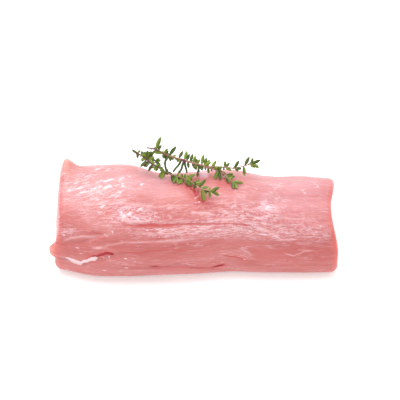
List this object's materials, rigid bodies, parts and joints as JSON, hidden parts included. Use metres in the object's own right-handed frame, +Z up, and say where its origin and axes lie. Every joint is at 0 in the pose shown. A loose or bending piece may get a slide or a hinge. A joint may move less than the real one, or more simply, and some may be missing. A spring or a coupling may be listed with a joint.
{
  "type": "raw veal striploin",
  "caption": "Trimmed raw boneless veal striploin, a long pale pink loin lying on its flat side, with fresh thyme sprigs on top.",
  "frame": {"origin": "on the flat base, under the middle of the loin", "axes": "+X along the loin and its fibres, +Y to the back, +Z up"},
  "size_m": [0.2777, 0.1363, 0.0901],
  "materials": {
    "raw_veal": "moist raw meat, pale pink, with silvery membrane and a little fat",
    "thyme": "fresh green leaves on thin brown and purple stems"
  },
  "bodies": {
    "root": {"striploin": "raw_veal", "thyme_sprig_long": "thyme", "thyme_sprig_short": "thyme"}
  },
  "joints": []
}
